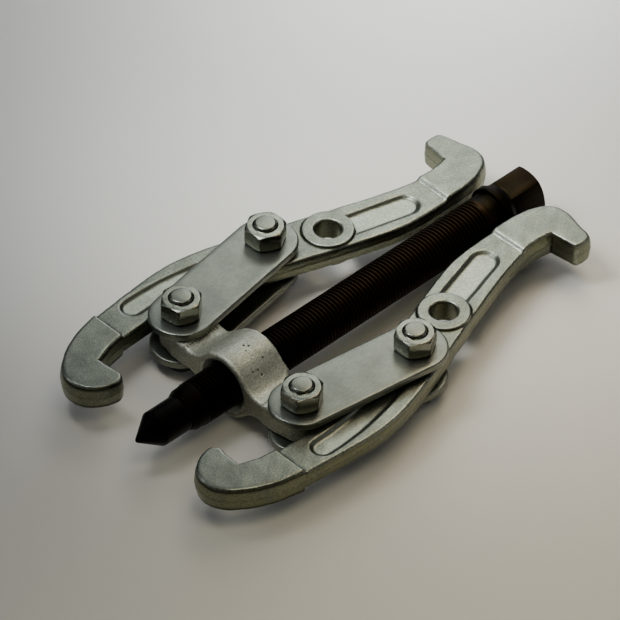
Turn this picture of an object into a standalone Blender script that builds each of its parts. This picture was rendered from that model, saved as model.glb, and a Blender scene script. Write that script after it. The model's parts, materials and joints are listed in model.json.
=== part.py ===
"""Two-jaw gear puller: forcing screw in a cast yoke, two forged reversible jaws on four link plates.

Run with: blender --background --python part.py
The design is drawn in millimetres about the screw's axis: +X runs along the screw towards its hex end,
+Y towards the left jaw, +Z up, and the two yoke bolts stand on the line X = 0.  The root empty then
moves the whole tool so that it stands on Z = 0 with its bounding box centred on the origin.
"""
import math

import bmesh
import bpy
from mathutils import Matrix, Vector

MM = 0.001
GAP = 0.3                    # clearance between neighbours that touch on the real tool
PIN_GAP = 0.33               # the same between a round piece and its hole, which leaves GAP at the facets

# --- overall layout ---------------------------------------------------------------------------------
YOKE_BOLT_Y = 29.4           # each yoke bolt from the screw's axis
LINK_PITCH = 45.9            # between the two holes of a link plate
LINK_ANGLE = {"left": 9.2, "right": 8.3}       # how far each link pair opens from the screw's axis
JAW_ANGLE = {"left": -19.8, "right": -20.9}    # line of the jaw's two holes, outwards positive
SIDES = {"left": 1, "right": -1}

# --- heights, all symmetric about the screw's axis --------------------------------------------------
PAD_HALF = 4.55              # half thickness of the yoke's pads and of the jaw's bosses
LINK_THICK = 3.0
LINK_INNER = PAD_HALF + GAP
LINK_OUTER = LINK_INNER + LINK_THICK
NUT_SEAT = LINK_OUTER + GAP

# --- M8 bolts and nuts ------------------------------------------------------------------------------
BOLT_R = 4.0
HOLE_R = BOLT_R + PIN_GAP
HEX_ACROSS = 13.0
HEAD_HIGH = 5.3
HEAD_FLAT_INSET = 0.2        # the round flat face of a head or nut ends this far inside the hexagon's flats
NUT_HIGH = 6.5
BOLT_TOP = NUT_SEAT + NUT_HIGH + 1.2
BOLT_CHAMFER = 0.7
MOUTH_WIDE = 0.9             # countersunk mouth of a nut: what it adds to the hole's radius, and its depth
MOUTH_LOW = 0.9
NUT_TURN = {("yoke", "left"): 40.0, ("jaw", "left"): 32.0,
            ("yoke", "right"): 34.0, ("jaw", "right"): 30.0}

# --- link plates ------------------------------------------------------------------------------------
LINK_END_R = 11.3

# --- yoke -------------------------------------------------------------------------------------------
YOKE_FRONT = -8.5
YOKE_BACK = 9.6
EAR_HALF_WIDE = 8.2
EAR_END_R = 7.85
EAR_STRAIGHT_Y = 25.4        # the ear's sides are straight as far as here
WEB_HALF = 4.2               # half thickness of the ear between pad and ring
PAD_START_Y = 20.0
PAD_SLOPE = 1.4              # length of the slope from pad to web
RING_R = 12.5
RING_FILLET = 4.5
RING_SHOULDER = ((YOKE_BACK, 12.9), (EAR_HALF_WIDE, 14.7))   # the ring stands proud of the ears at the back
SCREW_HOLE_R = 8.0 + PIN_GAP
MOUTH_R = 10.3
MOUTH_DEEP = 2.0
BACK_CHAMFER = 0.8
PAST = 1.0                   # how far a cutter or a fused piece runs past the surface it meets

# --- forcing screw, M16 x 1.5, along +X -------------------------------------------------------------
POINT_TIP_X = -47.2
POINT_CONE = 8.4             # length of the cone
POINT_TIP_R = 0.4
POINT_R = 6.4
POINT_BACK_X = -27.9
SPIGOT_R = 3.5
SPIGOT_LONG = 9.0
SCREW_R = 8.0
LEAD_IN = 2.0                # chamfer at the screw's front end
COLLAR_X = 116.4
COLLAR_R = 9.4
COLLAR_THICK = 3.0
HEX_X = 122.0
SCREW_END_X = 134.8
COLLAR_EDGE = 0.6            # what the cone behind the collar takes off its radius
DRIVE_ACROSS = 16.6
DRIVE_TURN = 8.0             # how far the drive hexagon's corner is turned from +Y
DRIVE_END_R = 8.2

# --- jaws, drawn along the line of their two holes, outwards is +y ----------------------------------
JAW_HOOK_HALF = 5.0          # half thickness of both hook ends
JAW_MID_HALF = 3.6           # half thickness of the arm between them
JAW_RECESS = 1.1             # depth of the panels sunk into the arm
FREE_HOLE_X = 23.2
FREE_HOLE_R = 4.7
BOSS_R = 9.1
FAR_STEP = ((62.0, 12.6), (67.4, -2.6))        # where the arm meets the small hook
NEAR_STEP = ((-66.4, -8.0), (-61.0, -22.4))    # where the arm meets the big hook
FAR_SLOPE = 2.2              # length of the sloping face at each step
NEAR_SLOPE = 0.5
# one walk round the jaw: along the outer edge to the big hook, round it and back along the inner edge
JAW_OUTLINE = (
    ("corner", 74.4, 16.8), ("smooth", 68.0, 13.5), ("smooth", 62.5, 12.0), ("smooth", 54.0, 10.8),
    ("smooth", 40.0, 10.0), ("smooth", 13.0, 9.4), ("smooth", -10.0, 9.1), ("smooth", -25.0, 7.9),
    ("smooth", -37.0, 5.0), ("smooth", -49.5, -0.4), ("smooth", -61.0, -6.0), ("smooth", -70.5, -11.2),
    ("smooth", -77.5, -16.8), ("smooth", -83.0, -23.3), ("smooth", -85.9, -29.6), ("smooth", -85.6, -35.2),
    ("smooth", -82.6, -39.6), ("smooth", -78.2, -41.8), ("smooth", -73.4, -42.2), ("smooth", -69.7, -41.1),
    ("smooth", -68.7, -39.0), ("corner", -70.4, -35.1), ("corner", -72.8, -29.6), ("smooth", -68.9, -26.2),
    ("smooth", -63.5, -22.7),
    ("smooth", -56.5, -19.5), ("smooth", -48.0, -16.2), ("smooth", -37.0, -13.0), ("smooth", -24.0, -11.0),
    ("smooth", -8.0, -10.1), ("smooth", 20.0, -9.8), ("smooth", 36.0, -9.2), ("smooth", 47.0, -8.3),
    ("smooth", 56.0, -6.1), ("smooth", 67.0, -2.2), ("smooth", 76.5, 1.5), ("smooth", 83.2, 5.9),
    ("smooth", 86.9, 10.8), ("smooth", 86.8, 16.0), ("smooth", 81.2, 25.0), ("smooth", 78.2, 29.0),
    ("smooth", 75.6, 29.7), ("smooth", 72.4, 28.2), ("corner", 72.0, 25.1),
)
JAW_CURVE_STEPS = 3
PANEL_HALF_WIDE = 4.8
FAR_PANEL = ((26.0, -0.8), (52.6, 1.5))        # centre line of the panel by the small hook
NEAR_PANEL_ARC = ((-12.0, -107.0), 107.0, 90.0, 112.4)   # the panel by the big hook bends with the arm

ROUND = 48                   # sides of a large round piece
SMALL_ROUND = 32             # sides of a bolt, nut or hole

# --- surface of each kind of piece: colour, roughness, metallic -------------------------------------
SURFACES = {
    "black_oxide_screw": ((0.030, 0.022, 0.018), 0.48, 0.85),
    "black_oxide_point": ((0.022, 0.019, 0.018), 0.45, 0.85),
    "zinc_cast_yoke": ((0.62, 0.62, 0.57), 0.42, 0.9),
    "zinc_plate_link": ((0.50, 0.53, 0.51), 0.34, 0.95),
    "zinc_forged_jaw": ((0.47, 0.51, 0.47), 0.40, 0.95),
    "zinc_bolt": ((0.58, 0.60, 0.57), 0.28, 1.0),
    "zinc_nut": ((0.56, 0.58, 0.55), 0.28, 1.0),
}


def clear_scene():
    for obj in list(bpy.data.objects):
        bpy.data.objects.remove(obj, do_unlink=True)


def make_collection(name):
    collection = bpy.data.collections.new(name)
    bpy.context.scene.collection.children.link(collection)
    return collection


def make_material(name):
    colour, roughness, metallic = SURFACES[name]
    material = bpy.data.materials.new(name)
    material.use_nodes = True
    shader = material.node_tree.nodes["Principled BSDF"]
    shader.inputs["Base Color"].default_value = (*colour, 1.0)
    shader.inputs["Roughness"].default_value = roughness
    shader.inputs["Metallic"].default_value = metallic
    material.diffuse_color = (*colour, 1.0)
    return material


def add_object(name, data, collection):
    obj = bpy.data.objects.new(name, data)
    collection.objects.link(obj)
    return obj


def baked_mesh(obj):
    """The object's evaluated shape as one welded mesh in its own frame; the object is removed."""
    bpy.context.view_layer.update()
    evaluated = obj.evaluated_get(bpy.context.evaluated_depsgraph_get())
    mesh = bpy.data.meshes.new_from_object(evaluated)
    shape = bmesh.new()
    shape.from_mesh(mesh)
    bmesh.ops.remove_doubles(shape, verts=shape.verts, dist=0.002 * MM)
    shape.to_mesh(mesh)
    shape.free()
    bpy.data.objects.remove(obj, do_unlink=True)
    return mesh


def solid(name, mesh):
    return add_object(name, mesh, CUTTERS)


def cylinder(radius, low, high, sides=SMALL_ROUND, turn=0.0, centre=(0.0, 0.0)):
    """A cylinder or prism along Z between two heights, its first corner turned from +X by degrees."""
    shape = bmesh.new()
    bmesh.ops.create_cone(shape, cap_ends=True, segments=sides, radius1=radius * MM, radius2=radius * MM,
                          depth=(high - low) * MM)
    place = Matrix.Translation(Vector((centre[0], centre[1], (low + high) / 2)) * MM)
    # a cone's first corner lies on +Y
    bmesh.ops.transform(shape, verts=shape.verts, matrix=place @ Matrix.Rotation(
        math.radians(turn - 90.0), 4, "Z"))
    mesh = bpy.data.meshes.new("cylinder")
    shape.to_mesh(mesh)
    shape.free()
    return solid("cylinder", mesh)


def turned(profile, sides=ROUND):
    """A solid of revolution about Z from (radius, height) points that run down its outer side."""
    mesh = bpy.data.meshes.new("profile")
    points = [(radius * MM, 0.0, height * MM) for radius, height in profile]
    mesh.from_pydata(points, [(i, i + 1) for i in range(len(points) - 1)], [])
    obj = solid("turned", mesh)
    spin = obj.modifiers.new("spin", "SCREW")
    spin.axis = "Z"
    spin.steps = sides
    spin.render_steps = sides
    spin.use_merge_vertices = True
    spin.merge_threshold = 0.001 * MM
    return solid("turned", baked_mesh(obj))


def flat_shape(outlines, half_thick, smooth_steps=1):
    """A plate from flat outlines; inner outlines are holes.  A point is (x, y) or (kind, x, y)."""
    curve = bpy.data.curves.new("outline", "CURVE")
    curve.dimensions = "2D"
    curve.fill_mode = "BOTH"
    curve.extrude = half_thick * MM
    curve.resolution_u = smooth_steps
    curve.render_resolution_u = smooth_steps
    for outline in outlines:
        spline = curve.splines.new("BEZIER")
        spline.bezier_points.add(len(outline) - 1)
        spline.use_cyclic_u = True
        for bezier_point, point in zip(spline.bezier_points, outline):
            bezier_point.co = (point[-2] * MM, point[-1] * MM, 0.0)
            handle = "AUTO" if point[0] == "smooth" else "VECTOR"
            bezier_point.handle_left_type = handle
            bezier_point.handle_right_type = handle
    return solid("plate", baked_mesh(solid("outline", curve)))


def arc(centre, radius, start, end, steps):
    """Points of an arc between two angles in degrees, both ends included."""
    angles = [math.radians(start + (end - start) * i / steps) for i in range(steps + 1)]
    return [(centre[0] + radius * math.cos(a), centre[1] + radius * math.sin(a)) for a in angles]


def combine(body, others, operation):
    """Apply Booleans to a body one after another; the other solids are used up."""
    for other in others:
        other.hide_render = True
        other.display_type = "WIRE"
        step = body.modifiers.new(operation.lower(), "BOOLEAN")
        step.operation = operation
        step.solver = "EXACT"
        step.object = other
        body = solid("combined", baked_mesh(body))
        bpy.data.objects.remove(other, do_unlink=True)
    return body


def lay_along_x(obj):
    """Turn a piece modelled along Z so that it lies along +X, its own +X pointing down."""
    obj.data.transform(Matrix.Rotation(math.radians(90.0), 4, "Y"))
    return obj


def finished_mesh(body, material_name):
    mesh = baked_mesh(body)
    mesh.name = material_name
    mesh.materials.clear()
    mesh.materials.append(make_material(material_name))
    mesh.shade_smooth()
    mesh.set_sharp_from_angle(angle=math.radians(28.0))
    return mesh


def hexagon(across, low, high, turn=0.0):
    return cylinder(across / math.sqrt(3.0), low, high, sides=6, turn=turn)


def chamfer_envelope(across, low, high, low_r=None, high_r=None):
    """A turned solid whose conical ends take the corners off a hexagon that it is crossed with."""
    corner = across / math.sqrt(3.0) + 0.5
    slope = math.tan(math.radians(30.0))
    profile = [(0.0, high)]
    if high_r:
        profile += [(high_r, high), (corner, high - (corner - high_r) * slope)]
    else:
        profile += [(corner, high)]
    if low_r:
        profile += [(corner, low + (corner - low_r) * slope), (low_r, low)]
    else:
        profile += [(corner, low)]
    return turned(profile + [(0.0, low)])


def bolt_mesh():
    """M8 hex bolt standing on its head, its shank pointing up."""
    head_low = -NUT_SEAT - HEAD_HIGH
    head = hexagon(HEX_ACROSS, head_low, -NUT_SEAT)
    envelope = chamfer_envelope(HEX_ACROSS, head_low, 0.0, low_r=HEX_ACROSS / 2 - HEAD_FLAT_INSET)
    head = combine(head, [envelope], "INTERSECT")
    shank_low = -NUT_SEAT - PAST
    shank = turned([(0.0, BOLT_TOP), (BOLT_R - BOLT_CHAMFER, BOLT_TOP), (BOLT_R, BOLT_TOP - BOLT_CHAMFER),
                    (BOLT_R, shank_low), (0.0, shank_low)], SMALL_ROUND)
    return finished_mesh(combine(head, [shank], "UNION"), "zinc_bolt")


def nut_mesh():
    """M8 hex nut with a chamfered top and a countersunk mouth, its thread as a plain clearance hole."""
    top = NUT_SEAT + NUT_HIGH
    body = hexagon(HEX_ACROSS, NUT_SEAT, top)
    envelope = chamfer_envelope(HEX_ACROSS, 0.0, top, high_r=HEX_ACROSS / 2 - HEAD_FLAT_INSET)
    body = combine(body, [envelope], "INTERSECT")
    mouth = turned([(0.0, top + PAST), (HOLE_R + MOUTH_WIDE + PAST, top + PAST), (HOLE_R, top - MOUTH_LOW),
                    (HOLE_R, NUT_SEAT - PAST), (0.0, NUT_SEAT - PAST)], SMALL_ROUND)
    return finished_mesh(combine(body, [mouth], "DIFFERENCE"), "zinc_nut")


def link_mesh():
    """Flat link plate with round ends, centred on its own mid-plane, from the yoke hole along +x."""
    outline = arc((LINK_PITCH, 0.0), LINK_END_R, -90.0, 90.0, 20)
    outline += arc((0.0, 0.0), LINK_END_R, 90.0, 270.0, 20)
    holes = [arc((x, 0.0), HOLE_R, 0.0, 352.5, 47) for x in (0.0, LINK_PITCH)]
    return finished_mesh(flat_shape([outline] + holes, LINK_THICK / 2), "zinc_plate_link")


def yoke_profile():
    """Front view of the yoke in (y, z): the ring, its fillets, the webs and the pads."""
    centre_high = WEB_HALF + RING_FILLET
    centre_out = math.sqrt((RING_R + RING_FILLET) ** 2 - centre_high ** 2)
    touch = math.degrees(math.atan2(centre_high, centre_out))
    far = YOKE_BOLT_Y + EAR_END_R + PAST
    upper = [(far, PAD_HALF), (PAD_START_Y, PAD_HALF), (PAD_START_Y - PAD_SLOPE, WEB_HALF)]
    upper += arc((centre_out, centre_high), RING_FILLET, 270.0, 180.0 + touch, 6)
    right_half = [(-y, z) for y, z in reversed(upper)]
    upper += arc((0.0, 0.0), RING_R, touch, 180.0 - touch, 22)[1:-1] + right_half
    return upper + [(-y, -z) for y, z in upper]


def yoke_plan():
    """Top view of the yoke in (x, y): round ear ends, and the ring standing proud at the back."""
    left = [*RING_SHOULDER, (EAR_HALF_WIDE, EAR_STRAIGHT_Y)]
    left += arc((0.0, YOKE_BOLT_Y), EAR_END_R, 0.0, 180.0, 20) + [(YOKE_FRONT, EAR_STRAIGHT_Y)]
    return left + [(x, -y) for x, y in reversed(left)]


def yoke_mesh():
    profile = flat_shape([yoke_profile()], YOKE_BACK + PAST)
    # the front view stands upright: its own x becomes the tool's y, its own y becomes z
    profile.data.transform(Matrix(((0, 0, 1, 0), (1, 0, 0, 0), (0, 1, 0, 0), (0, 0, 0, 1))))
    plan = flat_shape([yoke_plan()], RING_R + PAST)
    body = combine(profile, [plan], "INTERSECT")
    back = YOKE_BACK + PAST
    front = YOKE_FRONT - PAST
    bore = turned([(0.0, back), (SCREW_HOLE_R + BACK_CHAMFER + PAST, back),
                   (SCREW_HOLE_R, YOKE_BACK - BACK_CHAMFER), (SCREW_HOLE_R, YOKE_FRONT + MOUTH_DEEP),
                   (MOUTH_R, YOKE_FRONT), (MOUTH_R, front), (0.0, front)])
    high = PAD_HALF + PAST
    holes = [cylinder(HOLE_R, -high, high, centre=(0.0, y)) for y in (YOKE_BOLT_Y, -YOKE_BOLT_Y)]
    body = combine(body, [lay_along_x(bore)] + holes, "DIFFERENCE")
    return finished_mesh(body, "zinc_cast_yoke")


def screw_mesh():
    """Forcing screw along +X with a plain thread cylinder, a collar, a drive hexagon and a blind socket."""
    front = POINT_BACK_X + GAP
    collar_back = COLLAR_X + COLLAR_THICK
    shaft = turned([(0.0, HEX_X), (DRIVE_END_R, HEX_X), (COLLAR_R - COLLAR_EDGE, collar_back + PAST),
                    (COLLAR_R, collar_back), (COLLAR_R, COLLAR_X), (SCREW_R, COLLAR_X),
                    (SCREW_R, front + LEAD_IN), (POINT_R + GAP, front), (0.0, front)])
    drive = hexagon(DRIVE_ACROSS, collar_back, SCREW_END_X, turn=90.0 + DRIVE_TURN)
    envelope = chamfer_envelope(DRIVE_ACROSS, COLLAR_X, SCREW_END_X, high_r=DRIVE_END_R)
    drive = combine(drive, [envelope], "INTERSECT")
    socket = cylinder(SPIGOT_R + PIN_GAP, front - PAST, POINT_BACK_X + SPIGOT_LONG + GAP)
    body = combine(combine(shaft, [drive], "UNION"), [socket], "DIFFERENCE")
    return finished_mesh(lay_along_x(body), "black_oxide_screw")


def point_mesh():
    """Pressure point: a cone and its neck, with a spigot that turns in the screw's end."""
    body = turned([(0.0, POINT_BACK_X + SPIGOT_LONG), (SPIGOT_R, POINT_BACK_X + SPIGOT_LONG),
                   (SPIGOT_R, POINT_BACK_X), (POINT_R, POINT_BACK_X),
                   (POINT_R, POINT_TIP_X + POINT_CONE), (POINT_TIP_R, POINT_TIP_X), (0.0, POINT_TIP_X)])
    return finished_mesh(lay_along_x(body), "black_oxide_point")


def step_line(step, shift, reach=20.0):
    """The two ends of a step line seen from above, moved towards -x by shift and run past both edges."""
    start, end = (Vector(point) for point in step)
    along = (end - start).normalized()
    across = Vector((along.y, -along.x)) * (1.0 if along.y > 0 else -1.0)
    return [start - along * reach - across * shift, end + along * reach - across * shift]


def arm_pocket(side):
    """The layer taken off the arm between the hooks, with sloping ends, above or below the jaw."""
    depth = JAW_HOOK_HALF - JAW_MID_HALF
    shape = bmesh.new()
    corners = []
    for high, past in ((JAW_MID_HALF, -0.5), (JAW_HOOK_HALF + PAST, 0.5 + PAST / depth)):
        outline = step_line(NEAR_STEP, past * NEAR_SLOPE) + step_line(FAR_STEP, -past * FAR_SLOPE)
        corners += [shape.verts.new((point.x * MM, point.y * MM, side * high * MM)) for point in outline]
    bmesh.ops.convex_hull(shape, input=corners)
    mesh = bpy.data.meshes.new("pocket")
    shape.to_mesh(mesh)
    shape.free()
    return solid("pocket", mesh)


def panel_cutter(centre_line, side):
    """A panel sunk into the arm along a centre line that starts in a boss and ends in a half circle."""
    points = [Vector(point) for point in centre_line]
    ahead = [(after - before).normalized() for before, after in zip(points, points[1:])]
    normals = [Vector((-along.y, along.x)) for along in ahead + ahead[-1:]]
    one_side = [tuple(point + normal * PANEL_HALF_WIDE) for point, normal in zip(points, normals)]
    other_side = [tuple(point - normal * PANEL_HALF_WIDE) for point, normal in zip(points, normals)]
    heading = math.degrees(math.atan2(ahead[-1].y, ahead[-1].x))
    end = arc(points[-1], PANEL_HALF_WIDE, heading + 90.0, heading - 90.0, 12)[1:-1]
    cutter = flat_shape([one_side + end + other_side[::-1]], JAW_RECESS)
    cutter.data.transform(Matrix.Translation((0.0, 0.0, side * JAW_MID_HALF * MM)))
    return cutter


def jaw_mesh():
    """Forged reversible jaw: big hook at -x turned inwards, small hook at +x turned outwards."""
    body = flat_shape([JAW_OUTLINE], JAW_HOOK_HALF, JAW_CURVE_STEPS)
    cutters = [arm_pocket(side) for side in (1, -1)]
    near_panel = arc(*NEAR_PANEL_ARC, 8)
    cutters += [panel_cutter(line, side) for line in (FAR_PANEL, near_panel) for side in (1, -1)]
    body = combine(body, cutters, "DIFFERENCE")
    centres = ((0.0, 0.0), (FREE_HOLE_X, 0.0))
    bosses = [cylinder(BOSS_R, -PAD_HALF, PAD_HALF, ROUND, centre=centre) for centre in centres]
    body = combine(body, bosses, "UNION")
    high = PAD_HALF + PAST
    holes = [cylinder(radius, -high, high, centre=centre)
             for radius, centre in zip((HOLE_R, FREE_HOLE_R), centres)]
    return finished_mesh(combine(body, holes, "DIFFERENCE"), "zinc_forged_jaw")


def place(name, mesh, position, turn=0.0, flip=False):
    """Put a named part at a point of the design frame, turned about Z by degrees, flipped over if asked."""
    obj = add_object(name, mesh, PARTS)
    obj.parent = ROOT
    obj.location = Vector(position) * MM
    obj.rotation_euler = (math.pi if flip else 0.0, 0.0, math.radians(turn))
    return obj


def build_side(side, bolt, nut, link, jaw):
    """One link pair with its two bolts, and the jaw that it carries."""
    sign = SIDES[side]
    yoke_pin = Vector((0.0, sign * YOKE_BOLT_Y, 0.0))
    angle = math.radians(LINK_ANGLE[side])
    jaw_pin = yoke_pin + Vector((math.cos(angle), sign * math.sin(angle), 0.0)) * LINK_PITCH
    lift = Vector((0.0, 0.0, LINK_INNER + LINK_THICK / 2))
    place(f"link_{side}_upper", link, yoke_pin + lift, sign * LINK_ANGLE[side])
    place(f"link_{side}_lower", link, yoke_pin - lift, sign * LINK_ANGLE[side])
    place(f"jaw_{side}", jaw, jaw_pin, sign * JAW_ANGLE[side], flip=sign < 0)
    for where, pin in (("yoke", yoke_pin), ("jaw", jaw_pin)):
        turn = NUT_TURN[(where, side)]
        place(f"{where}_bolt_{side}", bolt, pin, turn)
        place(f"{where}_nut_{side}", nut, pin, turn)


def stand_on_origin():
    """Move the root so that the tool stands on Z = 0 and its bounding box is centred on the origin."""
    bpy.context.view_layer.update()
    corners = [obj.matrix_world @ vertex.co for obj in PARTS.objects if obj.type == "MESH"
               for vertex in obj.data.vertices]
    low = Vector([min(corner[i] for corner in corners) for i in range(3)])
    high = Vector([max(corner[i] for corner in corners) for i in range(3)])
    ROOT.location = (-(low.x + high.x) / 2, -(low.y + high.y) / 2, -low.z)
    bpy.context.view_layer.update()


clear_scene()
PARTS = make_collection("gear_puller")
CUTTERS = make_collection("cutters")
ROOT = add_object("puller_frame", None, PARTS)

place("yoke", yoke_mesh(), (0.0, 0.0, 0.0))
place("forcing_screw", screw_mesh(), (0.0, 0.0, 0.0))
place("pressure_point", point_mesh(), (0.0, 0.0, 0.0))
shared_meshes = (bolt_mesh(), nut_mesh(), link_mesh(), jaw_mesh())
for side_name in SIDES:
    build_side(side_name, *shared_meshes)
stand_on_origin()
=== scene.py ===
"""Looks of the two-jaw gear puller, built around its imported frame.

Shapes are drawn in millimetres in the tool's design frame: +X along the screw towards the drive hexagon,
+Y towards the left jaw, +Z up, the yoke bolts on X = 0.  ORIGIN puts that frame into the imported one.
"""

import json
import math

import bmesh
import bpy
import numpy as np
from mathutils import Matrix, Vector


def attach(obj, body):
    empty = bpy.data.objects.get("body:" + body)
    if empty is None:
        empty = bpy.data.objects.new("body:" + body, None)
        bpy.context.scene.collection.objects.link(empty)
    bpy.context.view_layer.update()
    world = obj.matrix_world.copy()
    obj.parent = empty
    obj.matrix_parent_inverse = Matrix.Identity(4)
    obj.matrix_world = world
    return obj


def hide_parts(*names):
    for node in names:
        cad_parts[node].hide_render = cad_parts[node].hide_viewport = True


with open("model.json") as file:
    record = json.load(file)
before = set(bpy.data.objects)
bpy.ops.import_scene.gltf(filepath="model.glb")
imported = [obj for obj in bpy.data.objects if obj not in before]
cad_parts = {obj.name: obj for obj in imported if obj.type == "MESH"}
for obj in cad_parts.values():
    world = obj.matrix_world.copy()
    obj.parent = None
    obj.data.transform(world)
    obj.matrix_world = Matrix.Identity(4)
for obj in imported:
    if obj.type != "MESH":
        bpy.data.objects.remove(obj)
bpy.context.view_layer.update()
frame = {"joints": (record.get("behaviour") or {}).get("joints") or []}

MM = 0.001
JOINTS = {joint["name"]: joint for joint in frame["joints"]}
PIN = {name: Vector(JOINTS[name]["pos_m"]) for name in JOINTS if "pos_m" in JOINTS[name]}
ORIGIN = (PIN["left_link_swing"] + PIN["right_link_swing"]) / 2
SIDES = {"left": 1, "right": -1}

# --- the same driving sizes as in the CAD -----------------------------------------------------------
YOKE_BOLT_Y = (PIN["left_link_swing"] - PIN["right_link_swing"]).y / 2 / MM
LINK_PITCH = 45.9
LINK_ANGLE = {"left": 9.2, "right": 8.3}
JAW_ANGLE = {"left": -19.8, "right": -20.9}
NUT_TURN = {("yoke", "left"): 40.0, ("jaw", "left"): 32.0, ("yoke", "right"): 34.0, ("jaw", "right"): 30.0}
PAD_HALF = 4.55
LINK_THICK = 3.0
LINK_INNER = 4.85
NUT_SEAT = 8.15
LINK_END_R = 11.3


# --- mesh tools -------------------------------------------------------------------------------------
def finish_mesh(name, points, faces, crease, weld=0.002):
    """A closed, outward-facing mesh in metres from points in millimetres."""
    mesh = bpy.data.meshes.new(name)
    mesh.from_pydata((np.asarray(points, float) * MM).tolist(), [], [list(map(int, f)) for f in faces])
    shape = bmesh.new()
    shape.from_mesh(mesh)
    if weld:
        bmesh.ops.remove_doubles(shape, verts=shape.verts, dist=weld * MM)
        bmesh.ops.dissolve_degenerate(shape, edges=shape.edges, dist=weld * MM / 4)
    bmesh.ops.recalc_face_normals(shape, faces=shape.faces)
    shape.to_mesh(mesh)
    shape.free()
    mesh.shade_smooth()
    mesh.set_sharp_from_angle(angle=math.radians(crease))
    bend = curvature(mesh)
    # Painted highlight, with some real rubbing: outer edges, which bend outwards, are stored for
    # lightening.
    set_values(mesh, "wear_and_sheen", ramp((bend - 0.12) / 0.45))
    # Painted shade: corners, which bend inwards, are stored for darkening.
    set_values(mesh, "shade_and_grime", ramp((-bend - 0.08) / 0.45))
    return mesh


def set_values(mesh, name, values):
    """Store one number for each point of the mesh."""
    layer = mesh.attributes.get(name) or mesh.attributes.new(name, "FLOAT", "POINT")
    layer.data.foreach_set("value", np.asarray(values, np.float32))


def read_values(items, name, width):
    """The items' numbers as an array, with one row an item when each has several."""
    values = np.empty(len(items) * width, np.float32)
    items.foreach_get(name, values)
    return values.reshape(-1, width) if width > 1 else values


def curvature(mesh):
    """Mean bend at each point in 1/mm: positive on outer edges, negative in corners."""
    place = read_values(mesh.vertices, "co", 3) / MM
    normal = read_values(mesh.vertex_normals, "vector", 3)
    edges = np.empty(len(mesh.edges) * 2, np.int32)
    mesh.edges.foreach_get("vertices", edges)
    a, b = edges.reshape(-1, 2).T
    along = place[b] - place[a]
    bend = ((normal[b] - normal[a]) * along).sum(1) / np.maximum((along * along).sum(1), 1e-6)
    count = np.bincount(a, minlength=len(place)) + np.bincount(b, minlength=len(place)) + 1e-9
    values = (np.bincount(a, bend, len(place)) + np.bincount(b, bend, len(place))) / count
    for _ in range(2):
        values = 0.5 * values + 0.5 * (np.bincount(a, values[b], len(place))
                                       + np.bincount(b, values[a], len(place))) / count
    return values


def skin(rings, cap_start=True, cap_end=True, loop=False):
    """Points and faces of quads between closed rings that all have the same number of points."""
    count = len(rings[0])
    points = np.concatenate(rings)
    faces = []
    pairs = list(zip(range(len(rings) - 1), range(1, len(rings))))
    if loop:
        pairs.append((len(rings) - 1, 0))
    for a, b in pairs:
        for i in range(count):
            j = (i + 1) % count
            faces.append((a * count + i, a * count + j, b * count + j, b * count + i))
    for wanted, ring in ((cap_start and not loop, 0), (cap_end and not loop, len(rings) - 1)):
        if wanted:
            points = np.vstack([points, rings[ring].mean(0)])
            centre = len(points) - 1
            faces += [(ring * count + i, ring * count + (i + 1) % count, centre) for i in range(count)]
    return points, faces


def turns(count, start=0.0):
    """Angles, in radians, of the points round a ring."""
    return math.radians(start) + np.arange(count) * 2 * math.pi / count


def ring(radius, height, angles):
    """Points round the z axis; radius and height are single numbers or one for each angle."""
    radius = np.broadcast_to(np.asarray(radius, float), angles.shape)
    height = np.broadcast_to(np.asarray(height, float), angles.shape)
    return np.stack([radius * np.cos(angles), radius * np.sin(angles), height], 1)


def lathe_rings(profile, angles):
    """One ring for each (radius, height) of a turned profile."""
    return [ring(r, h, angles) for r, h in profile]


def hex_radius(angles, across, turn, corner):
    """Radius of a hexagon whose corners are cut back to a radius; one corner is turn degrees from +x."""
    from_flat = (angles - math.radians(turn)) % (math.pi / 3) - math.pi / 6
    return np.minimum(across / 2 / np.cos(from_flat), corner)


def thread_part(low, high, crest, depth, pitch, angles, run_in, run_out):
    """Points and faces of a right-hand helical thread between two heights, plain at both ends.

    One turn has a flat crest, a flank down, a flat root and a flank up, at these shares of the pitch.
    """
    phases = (0.0, 0.14, 0.43, 0.70)
    depths = (0.0, 0.0, 1.0, 1.0)
    sweep = np.append(angles, angles[0] + 2 * math.pi) - angles[0]
    rows = []
    number = int((high - low) / pitch) + 3
    for turn_number in range(-1, number):
        for phase, sunk in zip(phases, depths):
            height = low + pitch * (turn_number + phase + sweep / (2 * math.pi))
            height = np.clip(height, low, high)
            fade = np.clip((height - low) / run_in, 0, 1) * np.clip((high - height) / run_out, 0, 1)
            fade = fade * fade * (3 - 2 * fade)
            radius = crest - depth * sunk * fade
            around = sweep + angles[0]
            rows.append(np.stack([radius * np.cos(around), radius * np.sin(around), height], 1))
    count = len(sweep)
    faces = [(a * count + i, a * count + i + 1, (a + 1) * count + i + 1, (a + 1) * count + i)
             for a in range(len(rows) - 1) for i in range(count - 1)]
    return np.concatenate(rows), faces


def join_parts(parts):
    """Points and faces of several patches as one list."""
    points, faces = [], []
    for part_points, part_faces in parts:
        start = sum(len(p) for p in points)
        points.append(part_points)
        faces += [tuple(start + i for i in f) for f in part_faces]
    return np.concatenate(points), faces


# --- fields: signed distances in millimetres, negative inside ---------------------------------------
def ramp(value):
    """A smooth step from 0 at 0 to 1 at 1."""
    value = np.clip(value, 0.0, 1.0)
    return value * value * (3.0 - 2.0 * value)


def cut_round(a, b, radius):
    """The overlap of two bodies, the edge between them rounded."""
    return (np.minimum(np.maximum(a, b) + radius, 0.0)
            + np.hypot(np.maximum(a + radius, 0.0), np.maximum(b + radius, 0.0)) - radius)


def join_round(a, b, radius):
    """Two bodies joined, with a fillet between them."""
    return -cut_round(-a, -b, radius)


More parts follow.
